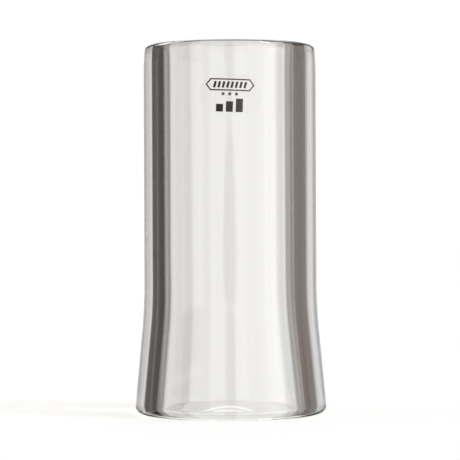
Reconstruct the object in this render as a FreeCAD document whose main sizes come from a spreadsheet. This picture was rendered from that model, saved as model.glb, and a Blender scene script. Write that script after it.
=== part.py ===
import FreeCAD, Part
import math
import os

import Sketcher
from FreeCAD import Placement, Rotation, Vector

# A clear glass guitar slide: a thick-walled tube, straight for most of its length and
# flared at the foot, with flame-rounded lips at both ends.  A small clear oval label
# sits near the mouth and carries a plain printed badge and a plain printed size mark.
#
# Row frame, in millimetres: the bore runs along +Z, the flared foot stands on z = 0
# and the label faces -Y.

DRIVING_SIZES = [
    # alias, value, meaning
    ("slide_length", 60.0, "foot to mouth"),
    ("barrel_diameter", 28.1, "outside of the straight stretch"),
    ("wall_thickness", 3.35, "glass wall, the same in the barrel and in the flare"),
    ("flare_step", 1.65, "how far the foot stands out past the barrel, each side"),
    ("flare_angle", 5.4, "slope of the flare from the bore axis, degrees"),
    ("flare_blend_radius", 85.0, "curve that leads from the barrel into the flare"),
    ("mouth_draw_in", 0.25, "how far the flame drew the mouth inwards, each side"),
    ("mouth_draw_height", 4.0, "length of that drawn-in stretch"),
    ("mouth_blend_radius", 20.0, "curve that leads from the barrel into the mouth"),
    ("lip_rounding_share", 0.4, "lip rounding as a share of the glass thickness there"),
    ("label_drop", 8.9, "mouth down to the middle of the label"),
    ("label_width", 9.9, "clear film, straight across"),
    ("label_height", 6.9, "clear film, up the barrel"),
    ("label_tilt", 2.0, "print leans clockwise, degrees"),
    ("film_thickness", 0.08, "clear film"),
    ("ink_thickness", 0.03, "printed layer on the film"),
    ("badge_width", 7.7, "tip to tip"),
    ("badge_height", 1.9, "across the flats"),
    ("badge_point", 0.75, "length of each pointed end"),
    ("badge_line", 0.2, "width of the badge's outline"),
    ("badge_rise", 1.55, "middle of the badge above the middle of the label"),
    ("hatch_width", 0.36, "one slanted stroke inside the badge"),
    ("hatch_length", 1.0, "length of a slanted stroke"),
    ("hatch_pitch", 0.68, "from one stroke to the next"),
    ("hatch_slant", 14.0, "lean of the strokes, degrees"),
    ("dot_diameter", 0.5, "one dot of the middle row"),
    ("dot_pitch", 1.05, "from one dot to the next"),
    ("dot_rise", 0.1, "middle row above the middle of the label"),
    ("bar_width", 1.1, "one bar of the size mark"),
    ("bar_pitch", 1.55, "from one bar to the next"),
    ("bar_short", 1.2, "height of the first bar"),
    ("bar_growth", 0.45, "each bar is this much taller than the one before"),
    ("bar_foot_drop", 2.7, "foot of the bars below the middle of the label"),
]

HATCH_COUNT = 8
DOT_COUNT = 3
BAR_COUNT = 3

# Sizes that follow from the driving ones.
DERIVED_SIZES = [
    ("barrel_radius", "barrel_diameter / 2"),
    ("bore_radius", "barrel_radius - wall_thickness"),
    ("foot_radius", "barrel_radius + flare_step"),
    ("foot_lip_rounding", "wall_thickness * lip_rounding_share"),
    ("mouth_lip_rounding", "(wall_thickness - mouth_draw_in) * lip_rounding_share"),
    ("bore_blend_radius", "flare_blend_radius + wall_thickness"),
    ("label_level", "slide_length - label_drop"),
    ("film_radius", "barrel_radius + film_thickness"),
    ("ink_radius", "film_radius + ink_thickness"),
    ("print_reach", "ink_radius + 2"),
    ("badge_inner_height", "badge_height - 2 * badge_line"),
    ("badge_inner_point", "badge_point * badge_inner_height / badge_height"),
    (
        "badge_inner_width",
        "badge_width - 2 * badge_line * sqrt(1 + (2 * badge_point / badge_height) ^ 2)",
    ),
]

doc = FreeCAD.newDocument("guitar_slide")


def build_sheet():
    """The spreadsheet that every feature below takes its sizes from."""
    sheet = doc.addObject("Spreadsheet::Sheet", "sizes")
    row = 1
    for alias, value, meaning in DRIVING_SIZES:
        sheet.set(f"A{row}", alias)
        sheet.set(f"B{row}", str(value))
        sheet.set(f"C{row}", meaning)
        sheet.setAlias(f"B{row}", alias)
        row += 1
    for alias, formula in DERIVED_SIZES:
        sheet.set(f"A{row}", alias)
        sheet.set(f"B{row}", "=" + formula)
        sheet.setAlias(f"B{row}", alias)
        row += 1
    doc.recompute()
    return sheet


sizes = build_sheet()


def size(alias):
    """The present value of one cell of the sheet."""
    return float(getattr(sizes, alias))


def from_sheet(formula):
    """A formula over the sheet's aliases, as an expression that other objects can hold."""
    words = formula.replace("(", "( ").replace(")", " )").split(" ")
    aliases = {alias for alias, *_ in DRIVING_SIZES + DERIVED_SIZES}
    return " ".join("sizes." + w if w in aliases else w for w in words)


def bind(item, **formulas):
    """Tie properties of a document object to the sheet; __ stands for a dot."""
    for name, formula in formulas.items():
        item.setExpression(name.replace("__", "."), from_sheet(formula))


def dimension(sketch, constraint, formula):
    """Add a driving dimension to a sketch and tie it to the sheet."""
    index = sketch.addConstraint(constraint)
    sketch.setExpression(f"Constraints[{index}]", from_sheet(formula))


# ---------------------------------------------------------------- glass tube

ORIGIN_POINT = (-1, 1)
H_AXIS = -1
V_AXIS = -2
START, END, CENTRE = 1, 2, 3


def origin_plane(body, role):
    """A body's own base plane, found by its role."""
    return next(f for f in body.Origin.OriginFeatures if f.Role == role)


def wall_profile(body):
    """Closed section of the glass wall, x outwards from the bore axis and y up it."""
    sketch = body.newObject("Sketcher::SketchObject", "wall_profile")
    sketch.AttachmentSupport = [(origin_plane(body, "XZ_Plane"), "")]
    sketch.MapMode = "FlatFace"

    # First positions of the corners; the constraints below then hold them.
    barrel, bore = size("barrel_radius"), size("bore_radius")
    foot, top, wall = size("foot_radius"), size("slide_length"), size("wall_thickness")
    mouth = barrel - size("mouth_draw_in")
    slope = math.radians(size("flare_angle"))
    bend, mouth_bend = size("flare_blend_radius"), size("mouth_blend_radius")
    corner_level = size("flare_step") / math.tan(slope)
    bend_level = corner_level + bend * math.tan(slope / 2)
    draw_level = top - size("mouth_draw_height")
    draw_slope = math.atan2(mouth - barrel, top - draw_level)

    bend_centre = Vector(barrel + bend, bend_level, 0)
    mouth_centre = Vector(barrel - mouth_bend, draw_level, 0)

    def on_bend(radius, angle):
        """Point of the flare's bend at this angle down from level."""
        return bend_centre - Vector(math.cos(angle), math.sin(angle), 0) * radius

    draw_start = mouth_centre + Vector(math.cos(draw_slope), -math.sin(draw_slope), 0) * mouth_bend

    def line(here, there):
        return sketch.addGeometry(Part.LineSegment(here, there), False)

    def arc(centre, radius, first, last):
        circle = Part.Circle(centre, Vector(0, 0, 1), radius)
        return sketch.addGeometry(Part.ArcOfCircle(circle, first, last), False)

    half_turn = math.pi
    foot_side = line(Vector(foot - wall, 0, 0), Vector(foot, 0, 0))
    flare_side = line(Vector(foot, 0, 0), on_bend(bend, slope))
    flare_bend = arc(bend_centre, bend, half_turn, half_turn + slope)
    barrel_side = line(on_bend(bend, 0), Vector(barrel, draw_level, 0))
    mouth_curve = arc(mouth_centre, mouth_bend, 0, -draw_slope)
    draw_side = line(draw_start, Vector(mouth, top, 0))
    mouth_side = line(Vector(mouth, top, 0), Vector(bore, top, 0))
    bore_side = line(Vector(bore, top, 0), on_bend(bend + wall, 0))
    bore_bend = arc(bend_centre, bend + wall, half_turn, half_turn + slope)
    bore_flare = line(on_bend(bend + wall, slope), Vector(foot - wall, 0, 0))

    def joined(kind, one, one_end, other, other_end):
        sketch.addConstraint(Sketcher.Constraint(kind, one, one_end, other, other_end))

    joined("Coincident", foot_side, END, flare_side, START)
    joined("Tangent", flare_side, END, flare_bend, END)
    joined("Tangent", flare_bend, START, barrel_side, START)
    joined("Tangent", barrel_side, END, mouth_curve, START)
    joined("Tangent", mouth_curve, END, draw_side, START)
    joined("Coincident", draw_side, END, mouth_side, START)
    joined("Coincident", mouth_side, END, bore_side, START)
    joined("Tangent", bore_side, END, bore_bend, START)
    joined("Tangent", bore_bend, END, bore_flare, START)
    joined("Coincident", bore_flare, END, foot_side, START)
    joined("Coincident", flare_bend, CENTRE, bore_bend, CENTRE)

    sketch.addConstraint(Sketcher.Constraint("Horizontal", foot_side))
    sketch.addConstraint(Sketcher.Constraint("Horizontal", mouth_side))
    sketch.addConstraint(Sketcher.Constraint("Vertical", barrel_side))
    sketch.addConstraint(Sketcher.Constraint("Vertical", bore_side))
    sketch.addConstraint(Sketcher.Constraint("Parallel", flare_side, bore_flare))
    sketch.addConstraint(Sketcher.Constraint("PointOnObject", flare_side, START, H_AXIS))

    def across(side, end, near, formula):
        """Horizontal distance from the bore axis out to one end of a line."""
        c = Sketcher.Constraint("DistanceX", *ORIGIN_POINT, side, end, near)
        dimension(sketch, c, formula)

    across(flare_side, START, foot, "foot_radius")
    across(barrel_side, END, barrel, "barrel_radius")
    across(draw_side, END, mouth, "barrel_radius - mouth_draw_in")
    across(bore_side, START, bore, "bore_radius")
    c = Sketcher.Constraint("DistanceY", *ORIGIN_POINT, draw_side, END, top)
    dimension(sketch, c, "slide_length")
    c = Sketcher.Constraint("DistanceY", barrel_side, END, draw_side, END, top - draw_level)
    dimension(sketch, c, "mouth_draw_height")
    c = Sketcher.Constraint("Angle", flare_side, math.pi / 2 + slope)
    dimension(sketch, c, "( 90 + flare_angle ) * 1 deg")
    c = Sketcher.Constraint("Radius", flare_bend, bend)
    dimension(sketch, c, "flare_blend_radius")
    c = Sketcher.Constraint("Radius", mouth_curve, mouth_bend)
    dimension(sketch, c, "mouth_blend_radius")
    return sketch


NEAR = 0.02


def is_ring(edge, level):
    """Whether an edge is a circle at this height."""
    return isinstance(edge.Curve, Part.Circle) and abs(edge.Curve.Center.z - level) < NEAR


def ring_edges(shape, radius, level):
    """Names of the circular edges of this radius that lie at this height."""
    return [
        f"Edge{number}"
        for number, edge in enumerate(shape.Edges, start=1)
        if is_ring(edge, level) and abs(edge.Curve.Radius - radius) < NEAR
    ]


def round_ring(body, name, radius, level, rounding):
    """Round the ring edge of this radius and height on the body's latest feature."""
    base = body.Tip
    edges = ring_edges(base.Shape, radius, level)
    fillet = body.newObject("PartDesign::Fillet", name)
    fillet.Base = (base, edges)
    fillet.Radius = size(rounding)
    bind(fillet, Radius=rounding)
    body.Tip = fillet
    doc.recompute()


def build_glass_tube():
    body = doc.addObject("PartDesign::Body", "glass_tube")
    body.Label = "glass_tube"
    profile = wall_profile(body)
    turned = body.newObject("PartDesign::Revolution", "turned_wall")
    turned.Profile = profile
    turned.ReferenceAxis = (profile, ["V_Axis"])
    turned.Angle = 360
    body.Tip = turned
    doc.recompute()

    foot, bore, top = size("foot_radius"), size("bore_radius"), size("slide_length")
    mouth = size("barrel_radius") - size("mouth_draw_in")
    foot_rings = [edge.Curve.Radius for edge in turned.Shape.Edges if is_ring(edge, 0)]
    round_ring(body, "foot_outer_lip", max(foot_rings), 0, "foot_lip_rounding")
    round_ring(body, "foot_inner_lip", min(foot_rings), 0, "foot_lip_rounding")
    round_ring(body, "mouth_outer_lip", mouth, top, "mouth_lip_rounding")
    round_ring(body, "mouth_inner_lip", bore, top, "mouth_lip_rounding")
    return body


# ------------------------------------------------------- label film and print

UPRIGHT = Placement(Vector(0, 0, 0), Rotation(Vector(1, 0, 0), 90))


def cylinder(name, radius):
    """A full-height cylinder round the bore axis."""
    item = doc.addObject("Part::Cylinder", name)
    bind(item, Radius=radius, Height="slide_length")
    return item


def thin_shell(name, inner, outer):
    """The space between two radii round the bore axis."""
    shell = doc.addObject("Part::Cut", name)
    shell.Base = cylinder(name + "_outer", outer)
    shell.Tool = cylinder(name + "_inner", inner)
    return shell


def wrap_on_barrel(name, flats, shell):
    """Stand flat shapes up at the label's place and keep what lies in a thin shell.

    The flat shapes are drawn with x to the right and y up, and reach along z.
    """
    leaning = doc.addObject("Part::Compound", name + "_leaning")
    leaning.Links = flats
    leaning.Placement.Rotation = Rotation(Vector(0, 0, 1), -size("label_tilt"))
    bind(leaning, Placement__Rotation__Angle="-1 * label_tilt * 1 deg")
    upright = doc.addObject("Part::Compound", name + "_upright")
    upright.Links = [leaning]
    upright.Placement = UPRIGHT
    bind(upright, Placement__Base__z="label_level")
    piece = doc.addObject("Part::Common", name)
    piece.Base = upright
    piece.Tool = shell
    piece.Label = name
    return piece


def flat_box(name, width, height, x, y):
    """An upright block whose middle foot edge stands at x, y."""
    item = doc.addObject("Part::Box", name)
    bind(item, Length=width, Width=height, Height="print_reach")
    bind(item, Placement__Base__x=f"({x}) - ({width}) / 2", Placement__Base__y=y)
    return item


def oval(name, width, height):
    edge = doc.addObject("Part::Ellipse", name + "_edge")
    edge.MajorRadius = size(width) / 2
    edge.MinorRadius = size(height) / 2
    bind(edge, MajorRadius=f"{width} / 2", MinorRadius=f"{height} / 2")
    item = doc.addObject("Part::Extrusion", name)
    item.Base = edge
    item.Dir = Vector(0, 0, 1)
    item.Solid = True
    bind(item, LengthFwd="print_reach")
    return item


def long_hexagon(name, width, height, point):
    """A block with two long level sides and two pointed ends, centred on the badge."""
    sketch = doc.addObject("Sketcher::SketchObject", name + "_outline")
    w, h, e = size(width) / 2, size(height) / 2, size(point)
    corners = [
        Vector(-w, 0, 0),
        Vector(e - w, h, 0),
        Vector(w - e, h, 0),
        Vector(w, 0, 0),
        Vector(w - e, -h, 0),
        Vector(e - w, -h, 0),
    ]
    sides = []
    for here, there in zip(corners, corners[1:] + corners[:1]):
        sides.append(sketch.addGeometry(Part.LineSegment(here, there), False))
    for one, following in zip(sides, sides[1:] + sides[:1]):
        sketch.addConstraint(Sketcher.Constraint("Coincident", one, END, following, START))
    left_up, top, right_down, right_up, foot, left_down = sides

    def mirrored(line_a, end_a, line_b, end_b, *about):
        sketch.addConstraint(Sketcher.Constraint("Symmetric", line_a, end_a, line_b, end_b, *about))

    sketch.addConstraint(Sketcher.Constraint("PointOnObject", left_up, START, H_AXIS))
    mirrored(left_up, START, right_down, END, *ORIGIN_POINT)
    mirrored(top, START, top, END, V_AXIS)
    mirrored(foot, START, foot, END, V_AXIS)
    mirrored(top, START, foot, END, H_AXIS)
    c = Sketcher.Constraint("DistanceX", left_up, START, right_down, END, 2 * w)
    dimension(sketch, c, width)
    c = Sketcher.Constraint("DistanceY", foot, END, top, START, 2 * h)
    dimension(sketch, c, height)
    c = Sketcher.Constraint("DistanceX", top, START, top, END, 2 * (w - e))
    dimension(sketch, c, f"{width} - 2 * {point}")

    item = doc.addObject("Part::Extrusion", name)
    item.Base = sketch
    item.Dir = Vector(0, 0, 1)
    item.Solid = True
    bind(item, LengthFwd="print_reach")
    bind(sketch, Placement__Base__y="badge_rise")
    return item


def build_label_film():
    film = oval("film_oval", "label_width", "label_height")
    shell = thin_shell("film_shell", "barrel_radius", "film_radius")
    return wrap_on_barrel("label_film", [film], shell)


def hatch_stroke(index):
    """One slanted stroke of the badge's filling, centred on its own axis."""
    stroke = flat_box(f"hatch_{index}", "hatch_width", "hatch_length", "0", "hatch_length / -2")
    leaning = doc.addObject("Part::Compound", f"hatch_{index}_leaning")
    leaning.Links = [stroke]
    leaning.Placement.Rotation = Rotation(Vector(0, 0, 1), -size("hatch_slant"))
    bind(leaning, Placement__Rotation__Angle="-1 * hatch_slant * 1 deg")
    steps = index - (HATCH_COUNT - 1) / 2
    bind(leaning, Placement__Base__x=f"{steps} * hatch_pitch", Placement__Base__y="badge_rise")
    return leaning


def build_badge_print(shell):
    frame = doc.addObject("Part::Cut", "badge_frame")
    frame.Base = long_hexagon("badge_outer", "badge_width", "badge_height", "badge_point")
    frame.Tool = long_hexagon(
        "badge_inner", "badge_inner_width", "badge_inner_height", "badge_inner_point"
    )
    strokes = [hatch_stroke(index) for index in range(HATCH_COUNT)]
    return wrap_on_barrel("badge_print", [frame] + strokes, shell)


def build_size_print(shell):
    flats = []
    for index in range(DOT_COUNT):
        dot = doc.addObject("Part::Cylinder", f"dot_{index}")
        steps = index - (DOT_COUNT - 1) / 2
        bind(dot, Radius="dot_diameter / 2", Height="print_reach")
        bind(dot, Placement__Base__x=f"{steps} * dot_pitch", Placement__Base__y="dot_rise")
        flats.append(dot)
    for index in range(BAR_COUNT):
        steps = index - (BAR_COUNT - 1) / 2
        height = f"bar_short + {index} * bar_growth"
        flats.append(
            flat_box(f"bar_{index}", "bar_width", height, f"{steps} * bar_pitch", "-1 * bar_foot_drop")
        )
    return wrap_on_barrel("size_print", flats, shell)


# -------------------------------------------------------------- check and write


def check_document():
    """Stop if any object failed or any shape is empty or broken."""
    for item in doc.Objects:
        bad = [s for s in item.State if s in ("Invalid", "Error")]
        if bad:
            raise RuntimeError(f"{item.Name} is {bad}")
        shape = getattr(item, "Shape", None)
        if shape is not None and (shape.isNull() or not shape.isValid()):
            raise RuntimeError(f"{item.Name} has no valid shape")


def main():
    tube = build_glass_tube()
    film = build_label_film()
    ink_shell = thin_shell("ink_shell", "film_radius", "ink_radius")
    badge = build_badge_print(ink_shell)
    mark = build_size_print(ink_shell)
    doc.recompute()
    check_document()
    os.makedirs("parts", exist_ok=True)
    for node in (tube, film, badge, mark):
        node.Shape.exportStep(os.path.join("parts", node.Label + ".step"))
        box = node.Shape.BoundBox
        print(f"{node.Label}: {len(node.Shape.Solids)} solids, {node.Shape.Volume:.3f} mm3, "
              f"x {box.XMin:.2f}..{box.XMax:.2f}, y {box.YMin:.2f}..{box.YMax:.2f}, "
              f"z {box.ZMin:.2f}..{box.ZMax:.2f}")


main()
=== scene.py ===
import math

import bmesh
import bpy
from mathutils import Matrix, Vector


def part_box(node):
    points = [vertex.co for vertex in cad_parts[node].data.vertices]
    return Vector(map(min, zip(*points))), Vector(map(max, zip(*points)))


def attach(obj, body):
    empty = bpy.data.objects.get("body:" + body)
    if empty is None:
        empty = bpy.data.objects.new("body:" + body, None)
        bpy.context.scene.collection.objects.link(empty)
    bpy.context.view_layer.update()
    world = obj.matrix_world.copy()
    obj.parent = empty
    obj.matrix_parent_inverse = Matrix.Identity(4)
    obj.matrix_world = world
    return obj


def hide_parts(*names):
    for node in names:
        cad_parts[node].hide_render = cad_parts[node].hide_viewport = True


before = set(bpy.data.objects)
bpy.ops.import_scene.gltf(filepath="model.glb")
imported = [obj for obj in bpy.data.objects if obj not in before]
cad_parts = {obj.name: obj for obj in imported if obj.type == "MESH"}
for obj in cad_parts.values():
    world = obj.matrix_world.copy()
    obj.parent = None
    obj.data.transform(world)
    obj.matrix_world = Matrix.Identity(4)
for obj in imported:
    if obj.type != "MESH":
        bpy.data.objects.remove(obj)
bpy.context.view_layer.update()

# A clear glass guitar slide with an oval label, in a small photographic studio. The glass and
# the film are lathed and shaped here as finer meshes than their CAD solids, the print is the
# CAD's own, and the dark bands and grey streaks in the glass are the studio, refracted and
# reflected.

MM = 0.001
TAU = 2 * math.pi

# ------------------------------------------------------------------ sizes, in millimetres

# Outline of the glass.
(_, film_front, _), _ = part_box("label_film")
_, (_, _, slide_top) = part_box("glass_tube")

LENGTH = slide_top / MM
WALL = 3.35
FILM = 0.08
FILM_GAP = 0.01
FILM_EDGE = 0.02
BARREL = -film_front / MM - FILM
BORE = BARREL - WALL
FLARE_STEP = 1.65
FLARE_SLOPE = math.radians(5.4)
FLARE_BLEND = 85.0
DRAW_IN = 0.25
DRAW_HEIGHT = 4.0
DRAW_CURVE = 1.6
MOUTH_LIP = 0.9
FOOT_LIP = 1.4
LIP_FULLNESS = 0.86

# The oval label, and the foot and top of the row of dots printed on it.
LABEL_LEVEL = LENGTH - 8.9
LABEL_HALF_WIDTH = 4.95
LABEL_HALF_HEIGHT = 3.45
DOT_ROW = (LABEL_LEVEL - 0.25, LABEL_LEVEL + 0.45)

# What hand drawing leaves in the glass. A wave has its height, how many times it goes round,
# its phase, and how far it turns with each millimetre up the glass, in radians. The outside
# has only a share of the waves, and the bore all of them.
WAVES = [
    (0.010, 2, 0.9, 0.0),
    (0.006, 3, 2.1, 1 / 31),
    (0.0022, 23, 1.3, 0.0),
    (0.0016, 41, 0.0, 1 / 53),
]
OUTSIDE_SHARE = 0.35
DRAW_LINE = math.radians(268.5)
DRAW_LINE_RIDGE = 0.010
DRAW_LINE_WIDTH = 0.016
BORE_SHIFT = -0.13
BORE_SHIFT_TOP = 25
SURFACE_INSET = 0.026

SEGMENTS = 720


# ------------------------------------------------------------------ meshes


def outer_radius(z):
    """Outside of the glass at height z, without its lips: barrel, bend, flare and mouth."""
    corner = FLARE_STEP / math.tan(FLARE_SLOPE)
    bend_top = corner + FLARE_BLEND * math.tan(FLARE_SLOPE / 2)
    bend_foot = bend_top - FLARE_BLEND * math.sin(FLARE_SLOPE)
    radius = BARREL
    if z < bend_foot:
        radius += FLARE_STEP - z * math.tan(FLARE_SLOPE)
    elif z < bend_top:
        radius += FLARE_BLEND - math.sqrt(FLARE_BLEND**2 - (bend_top - z) ** 2)
    drawn = max(0.0, (z - (LENGTH - DRAW_HEIGHT)) / DRAW_HEIGHT)
    return radius - DRAW_IN * drawn**DRAW_CURVE


def inner_radius(z):
    """Inside of the glass at height z: it follows the flare and stays straight at the mouth."""
    if z > LENGTH / 2:
        return BORE
    return outer_radius(z) - WALL


def lip(z_edge, inward, depth, steps):
    """Half-round lip from the outer wall to the inner one, as (radius, height) points."""
    z_wall = z_edge + inward * depth
    r_out, r_in = outer_radius(z_wall), inner_radius(z_wall)
    middle, half = (r_out + r_in) / 2, (r_out - r_in) / 2
    points = []
    for step in range(steps + 1):
        angle = math.pi * step / steps
        bulge = abs(math.sin(angle)) ** LIP_FULLNESS
        points.append((middle + half * math.cos(angle), z_wall - inward * depth * bulge))
    return points


def wall_section():
    """The closed outline of the wall: up the outside, over the mouth, down the bore."""
    rows, lip_steps = 46, 16
    mouth = lip(LENGTH, -1, MOUTH_LIP, lip_steps)
    foot = lip(0.0, 1, FOOT_LIP, lip_steps)[::-1]
    low, high = FOOT_LIP, LENGTH - MOUTH_LIP
    heights = [low + (high - low) * row / rows for row in range(1, rows)]
    outside = [(outer_radius(z), z) for z in heights]
    inside = [(inner_radius(z), z) for z in reversed(heights)]
    return outside + mouth + inside + foot


def unevenness(radius, z, angle):
    """How far the glass stands out past its even outline at this place.

    The bore is also a little off the middle of the barrel, which the flare evens out.
    """
    depth = min(1.0, max(0.0, (outer_radius(z) - radius) / WALL))
    waves = sum(
        height * math.sin(times * angle + phase + twist * z)
        for height, times, phase, twist in WAVES
    )
    share = OUTSIDE_SHARE + (1 - OUTSIDE_SHARE) * depth
    ridge = DRAW_LINE_RIDGE * math.exp(-(((angle - DRAW_LINE) / DRAW_LINE_WIDTH) ** 2))
    off_centre = BORE_SHIFT * math.cos(angle) * min(1.0, z / BORE_SHIFT_TOP) * depth
    return share * waves + ridge + off_centre - SURFACE_INSET


def new_piece(name, mesh):
    piece = bpy.data.objects.new(name, mesh)
    bpy.context.scene.collection.objects.link(piece)
    return piece


def lathe(name, section):
    """Turn a closed section round the bore axis, with the unevenness of drawn glass."""
    mesh = bpy.data.meshes.new(name)
    shape = bmesh.new()
    rings = []
    for turn in range(SEGMENTS):
        angle = TAU * turn / SEGMENTS
        ring = []
        for radius, z in section:
            r = (radius + unevenness(radius, z, angle)) * MM
            ring.append(shape.verts.new((r * math.cos(angle), r * math.sin(angle), z * MM)))
        rings.append(ring)
    count = len(section)
    for turn in range(SEGMENTS):
        here, there = rings[turn], rings[(turn + 1) % SEGMENTS]
        for i in range(count):
            j = (i + 1) % count
            shape.faces.new((here[i], there[i], there[j], here[j]))
    bmesh.ops.recalc_face_normals(shape, faces=shape.faces)
    shape.to_mesh(mesh)
    shape.free()
    mesh.shade_smooth()
    return new_piece(name, mesh)


def oval_film(name):
    """The clear label: an oval that follows the barrel, seen straight on as an ellipse."""
    rings, around = 14, 96
    just_inside = 0.995
    back, front = BARREL + FILM_GAP, BARREL + FILM
    mesh = bpy.data.meshes.new(name)
    shape = bmesh.new()

    def row(share, radius):
        """One oval of points on a cylinder, at a share of the film's full size."""
        points = []
        for step in range(around):
            angle = TAU * step / around
            x = LABEL_HALF_WIDTH * share * math.cos(angle)
            z = LABEL_LEVEL + LABEL_HALF_HEIGHT * share * math.sin(angle)
            y = -math.sqrt(radius**2 - x**2)
            points.append(shape.verts.new((x * MM, y * MM, z * MM)))
        return points

    rows = [row((ring + 1) / rings, front) for ring in range(rings - 1)]
    rows.append(row(just_inside, front))
    rows.append(row(1.0, front - FILM_EDGE))
    rows.append(row(1.0, back))
    rows += [row((ring + 1) / rings, back) for ring in reversed(range(rings - 1))]
    for one, other in zip(rows, rows[1:]):
        for i in range(around):
            j = (i + 1) % around
            shape.faces.new((one[i], one[j], other[j], other[i]))
    for edge_row, radius in ((rows[0], front), (rows[-1], back)):
        hub = shape.verts.new((0, -radius * MM, LABEL_LEVEL * MM))
        for i in range(around):
            shape.faces.new((hub, edge_row[i], edge_row[(i + 1) % around]))
    bmesh.ops.recalc_face_normals(shape, faces=shape.faces)
    shape.to_mesh(mesh)
    shape.free()
    mesh.shade_smooth()
    return new_piece(name, mesh)


# ------------------------------------------------------------------ materials


class Nodes:
    """A small helper round the node tree of a material or of the world."""

    def __init__(self, owner):
        owner.use_nodes = True
        self.tree = owner.node_tree
        self.tree.nodes.clear()

    def add(self, kind, **values):
        node = self.tree.nodes.new(kind)
        for name, value in values.items():
            setattr(node, name, value)
        return node

    def link(self, source, target):
        self.tree.links.new(source, target)

    def noise(self, scale, detail=2.0, stretch=(1, 1, 1)):
        """Noise fixed to the piece, with scale in cells per metre."""
        place = self.add("ShaderNodeTexCoord")
        mapping = self.add("ShaderNodeMapping")
        mapping.inputs["Scale"].default_value = stretch
        self.link(place.outputs["Object"], mapping.inputs["Vector"])
        noise = self.add("ShaderNodeTexNoise")
        noise.inputs["Scale"].default_value = scale
        noise.inputs["Detail"].default_value = detail
        self.link(mapping.outputs["Vector"], noise.inputs["Vector"])
        return noise.outputs["Fac"]

    def ramp(self, source, stops):
        """Colour that goes from stop to stop, each a place from 0 to 1 and a colour."""
        ramp = self.add("ShaderNodeValToRGB")
        elements = ramp.color_ramp.elements
        while len(elements) < len(stops):
            elements.new(0.5)
        for element, (position, colour) in zip(elements, stops):
            element.position = position
            element.color = (*colour, 1)
        self.link(source, ramp.inputs["Fac"])
        return ramp.outputs["Color"]

    def maths(self, operation, *values):
        """A Math node; each value is a number or another node's output."""
        node = self.add("ShaderNodeMath", operation=operation)
        for socket, value in zip(node.inputs, values):
            if isinstance(value, (int, float)):
                socket.default_value = value
            else:
                self.link(value, socket)
        return node.outputs[0]


def grey(value):
    return (value, value, value)


def glass_material():
    """Faintly tinted clear glass, with a few dull smudges, that casts a light shadow."""
    material = bpy.data.materials.new("clear_glass")
    n = Nodes(material)
    glass = n.add("ShaderNodeBsdfPrincipled")
    glass.inputs["Transmission Weight"].default_value = 1.0
    glass.inputs["IOR"].default_value = 1.474
    streaks = n.noise(60, stretch=(1, 1, 0.2))
    tint = n.ramp(streaks, [(0.3, (0.985, 0.985, 0.975)), (0.7, (1, 1, 0.995))])
    n.link(tint, glass.inputs["Base Color"])
    smudge = n.ramp(n.noise(90, 4), [(0.66, grey(0.0)), (0.78, grey(0.03))])
    n.link(smudge, glass.inputs["Roughness"])
    clear = n.add("ShaderNodeBsdfTransparent")
    clear.inputs["Color"].default_value = (0.8, 0.8, 0.79, 1)
    path = n.add("ShaderNodeLightPath")
    mix = n.add("ShaderNodeMixShader")
    n.link(path.outputs["Is Shadow Ray"], mix.inputs[0])
    n.link(glass.outputs[0], mix.inputs[1])
    n.link(clear.outputs[0], mix.inputs[2])
    out = n.add("ShaderNodeOutputMaterial")
    n.link(mix.outputs[0], out.inputs["Surface"])
    return material


def film_material():
    """Clear film that only veils what is behind it."""
    material = bpy.data.materials.new("clear_film")
    n = Nodes(material)
    film = n.add("ShaderNodeBsdfPrincipled")
    film.inputs["Roughness"].default_value = 0.22
    colour = n.ramp(n.noise(400), [(0.3, (0.86, 0.86, 0.84)), (0.7, (0.94, 0.94, 0.93))])
    n.link(colour, film.inputs["Base Color"])
    veil = n.ramp(n.noise(700, 3), [(0.3, grey(0.03)), (0.7, grey(0.06))])
    n.link(veil, film.inputs["Alpha"])
    out = n.add("ShaderNodeOutputMaterial")
    n.link(film.outputs[0], out.inputs["Surface"])
    return material


def ink_material():
    """Dark print, patchy, browner towards its right side and thin in its row of dots."""
    browning, brown_at_middle, patchiness = 110.0, 0.32, 0.5
    material = bpy.data.materials.new("black_ink")
    n = Nodes(material)
    place = n.add("ShaderNodeTexCoord")
    split = n.add("ShaderNodeSeparateXYZ")
    n.link(place.outputs["Object"], split.inputs[0])
    across = n.maths("MULTIPLY_ADD", split.outputs["X"], browning, brown_at_middle)
    patchy = n.maths("MULTIPLY_ADD", n.noise(1500, 3), patchiness, across)
    full = n.ramp(patchy, [(0.35, (0.016, 0.011, 0.008)), (1.0, (0.13, 0.105, 0.09))])
    dots_foot, dots_top = DOT_ROW
    in_row = n.maths(
        "MULTIPLY",
        n.maths("GREATER_THAN", split.outputs["Z"], dots_foot * MM),
        n.maths("LESS_THAN", split.outputs["Z"], dots_top * MM),
    )
    thin = n.add("ShaderNodeMix", data_type="RGBA")
    n.link(in_row, thin.inputs["Factor"])
    n.link(full, thin.inputs["A"])
    thin.inputs["B"].default_value = (0.16, 0.14, 0.13, 1)
    ink = n.add("ShaderNodeBsdfPrincipled")
    ink.inputs["Roughness"].default_value = 0.5
    n.link(thin.outputs["Result"], ink.inputs["Base Color"])
    out = n.add("ShaderNodeOutputMaterial")
    n.link(ink.outputs[0], out.inputs["Surface"])
    return material


def give(piece, material):
    piece.data.materials.clear()
    piece.data.materials.append(material)


# ------------------------------------------------------------------ the slide

glass = lathe("glass_wall", wall_section())
give(glass, glass_material())
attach(glass, "root")
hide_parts("glass_tube")

film = oval_film("label_clear_film")
give(film, film_material())
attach(film, "root")
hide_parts("label_film")

ink = ink_material()
for node in ("badge_print", "size_print"):
    give(bpy.data.objects[node], ink)


# ------------------------------------------------------------------ stage, light and camera

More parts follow.
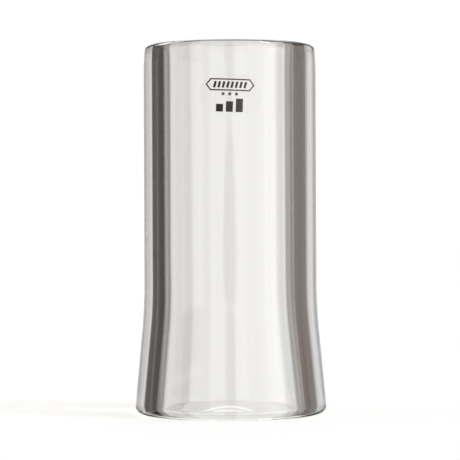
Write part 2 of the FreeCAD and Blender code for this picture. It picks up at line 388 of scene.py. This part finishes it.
# The studio round the slide: bright panels in the dark. Each has the compass bearing of its
# middle in degrees (0 is straight ahead, +Y, and 90 is to the right, +X), its half width and
# the width of its soft edge in degrees, its foot and top as the sine of the elevation, and
# its brightness.
PANELS = [
    ("backdrop", -1, 21.5, 2.5, -0.37, 0.56, 0.56),
    ("backdrop at eye level", -1, 21.5, 2.5, -0.088, 0.12, 0.12),
    ("backdrop middle", 2.5, 9.5, 1.0, -0.37, 0.56, 0.16),
    ("backdrop right of the middle", 7, 5, 3.0, -0.37, 0.56, 0.07),
    ("right edge of the backdrop", 23, 4, 3.0, -0.37, 0.56, 0.28),
    ("table under the backdrop", 1, 14, 3.0, -0.64, -0.37, 0.25),
    ("spill on the left", -24, 15, 4.0, -0.30, 0.5, 0.05),
    ("spill on the right", 46, 23, 2.5, -0.30, 0.5, 0.16),
    ("left window", -85, 20, 3.5, -0.30, 0.5, 1.0),
    ("right window", 104, 26, 8.0, -0.12, 0.5, 1.0),
    ("right front window", 135, 18, 3.0, -0.60, 0.5, 0.9),
    ("fill left of the camera", -166, 14, 1.5, -0.30, 0.5, 0.9),
    ("fill right of the camera", 165.75, 14.25, 2.0, -0.30, 0.5, 0.9),
    ("low panel", -45, 20, 3.0, -0.65, -0.325, 0.95),
]
# The dark gap between the two fill panels, where the camera stands: its half width in degrees
# at some heights, each the sine of the elevation.
CAMERA_GAP = [(-0.05, 7.5), (-0.01, 11.0), (0.014, 8.5), (0.038, 6.5), (0.056, 1.4), (0.08, 7.0)]
CAMERA_GAP_EDGE = 1.2
# Half the soft edge at a panel's foot and top, and where the light of the ceiling and of the
# ground sets in and is full: sines of the elevation too.
PANEL_SOFT_EDGE = 0.015
CEILING = (0.5, 0.62)
GROUND = (-0.62, -0.75)
# The tint of dim light, the unlit room, and the white that the camera sees behind the slide.
WARM = (1.0, 0.87, 0.79)
DARK = (0.022, 0.014, 0.010)
WHITE = 1.05


def fade(n, value, start, end):
    """1 on start's side and 0 on end's side, with a smooth step between the two."""
    step = n.add("ShaderNodeMapRange", interpolation_type="SMOOTHSTEP")
    n.link(value, step.inputs["Value"])
    step.inputs["From Min"].default_value = min(start, end)
    step.inputs["From Max"].default_value = max(start, end)
    step.inputs["To Min"].default_value = float(start < end)
    step.inputs["To Max"].default_value = float(start > end)
    return step.outputs["Result"]


def angle_from(n, level_direction, bearing):
    """Angle between a level direction and a bearing."""
    just_under_one = 0.999999
    middle = math.radians(bearing)
    turn = n.add("ShaderNodeVectorMath", operation="DOT_PRODUCT")
    n.link(level_direction, turn.inputs[0])
    turn.inputs[1].default_value = (math.sin(middle), math.cos(middle), 0)
    return n.maths("ARCCOSINE", n.maths("MULTIPLY", turn.outputs["Value"], just_under_one))


def panel_light(n, level_direction, z, bearing, half_width, edge, low, high, level):
    """Light of one panel, seen from the slide."""
    away = angle_from(n, level_direction, bearing)
    inner, outer = math.radians(half_width - edge), math.radians(half_width + edge)
    across = fade(n, away, inner, outer)
    above_foot = fade(n, z, low + PANEL_SOFT_EDGE, low - PANEL_SOFT_EDGE)
    below_top = fade(n, z, high - PANEL_SOFT_EDGE, high + PANEL_SOFT_EDGE)
    upright = n.maths("MULTIPLY", above_foot, below_top)
    return n.maths("MULTIPLY", n.maths("MULTIPLY", across, upright), level)


def outside_camera_gap(n, level_direction, z):
    """0 in the gap where the camera stands, 1 beside it."""
    lowest, highest = CAMERA_GAP[0][0], CAMERA_GAP[-1][0]
    span = highest - lowest
    height = n.maths("DIVIDE", n.maths("SUBTRACT", z, lowest), span)
    stops = [((level - lowest) / span, grey(math.radians(half))) for level, half in CAMERA_GAP]
    half_width = n.ramp(height, stops)
    past_edge = n.maths("SUBTRACT", angle_from(n, level_direction, 180), half_width)
    edge = math.radians(CAMERA_GAP_EDGE)
    return fade(n, past_edge, edge, -edge)


def studio_world():
    """The studio as the glass sees it; the camera itself sees plain white."""
    world = bpy.data.worlds.new("studio")
    bpy.context.scene.world = world
    n = Nodes(world)
    place = n.add("ShaderNodeTexCoord")
    split = n.add("ShaderNodeSeparateXYZ")
    n.link(place.outputs["Generated"], split.inputs[0])
    x, y, z = split.outputs
    flat = n.add("ShaderNodeCombineXYZ")
    n.link(x, flat.inputs[0])
    n.link(y, flat.inputs[1])
    unit = n.add("ShaderNodeVectorMath", operation="NORMALIZE")
    n.link(flat.outputs[0], unit.inputs[0])
    light = 0.0
    for _, *panel in PANELS:
        light = n.maths("ADD", panel_light(n, unit.outputs[0], z, *panel), light)
    light = n.maths("MULTIPLY", light, outside_camera_gap(n, unit.outputs[0], z))
    light = n.maths("ADD", fade(n, z, CEILING[1], CEILING[0]), light)
    light = n.maths("ADD", fade(n, z, GROUND[1], GROUND[0]), light)
    tint = n.ramp(light, [(0.12, WARM), (0.5, (1, 1, 1))])
    tinted = n.add("ShaderNodeVectorMath", operation="SCALE")
    n.link(tint, tinted.inputs[0])
    n.link(light, tinted.inputs["Scale"])
    studio = n.add("ShaderNodeVectorMath", operation="ADD")
    n.link(tinted.outputs[0], studio.inputs[0])
    studio.inputs[1].default_value = DARK
    seen = n.add("ShaderNodeBackground")
    n.link(studio.outputs[0], seen.inputs["Color"])
    white = n.add("ShaderNodeBackground")
    white.inputs["Color"].default_value = (*grey(WHITE), 1)
    path = n.add("ShaderNodeLightPath")
    pick = n.add("ShaderNodeMixShader")
    n.link(path.outputs["Is Camera Ray"], pick.inputs[0])
    n.link(seen.outputs[0], pick.inputs[1])
    n.link(white.outputs[0], pick.inputs[2])
    out = n.add("ShaderNodeOutputWorld")
    n.link(pick.outputs[0], out.inputs["Surface"])


def floor():
    """Pale floor just under the slide, which only the camera sees."""
    radius, drop = 3.0, 0.00002
    mesh = bpy.data.meshes.new("floor")
    shape = bmesh.new()
    bmesh.ops.create_circle(shape, cap_ends=True, segments=96, radius=radius)
    shape.to_mesh(mesh)
    shape.free()
    piece = new_piece("floor", mesh)
    piece.location.z = -drop
    material = bpy.data.materials.new("pale_floor")
    n = Nodes(material)
    pale = n.add("ShaderNodeBsdfDiffuse")
    pale.inputs["Color"].default_value = (*grey(0.88), 1)
    path = n.add("ShaderNodeLightPath")
    open_air = n.add("ShaderNodeBsdfTransparent")
    mix = n.add("ShaderNodeMixShader")
    n.link(path.outputs["Is Camera Ray"], mix.inputs[0])
    n.link(open_air.outputs[0], mix.inputs[1])
    n.link(pale.outputs[0], mix.inputs[2])
    out = n.add("ShaderNodeOutputMaterial")
    n.link(mix.outputs[0], out.inputs["Surface"])
    give(piece, material)


def sun_light(name, source, spread, strength):
    """Soft light from far away in the direction of source."""
    light = bpy.data.lights.new(name, "SUN")
    light.angle = spread
    light.energy = strength
    lamp = bpy.data.objects.new(name, light)
    bpy.context.scene.collection.objects.link(lamp)
    lamp.rotation_euler = (-Vector(source)).to_track_quat("-Z", "Y").to_euler()


def camera():
    """Level with the middle of the slide, facing the label."""
    distance = 0.348
    eye = 0.0299
    lean = math.radians(0.23)
    data = bpy.data.cameras.new("camera")
    data.sensor_width = 36.0
    data.lens = 167.0
    data.shift_x = -0.0007
    lens = bpy.data.objects.new("camera", data)
    bpy.context.scene.collection.objects.link(lens)
    lens.location = (0, -distance, eye)
    lens.rotation_euler = (math.pi / 2, lean, 0)
    bpy.context.scene.camera = lens


studio_world()
floor()
sun_light("key", source=(0.6, -0.25, 0.9), spread=math.radians(14), strength=1.2)
camera()
bpy.context.scene.view_settings.view_transform = "Standard"
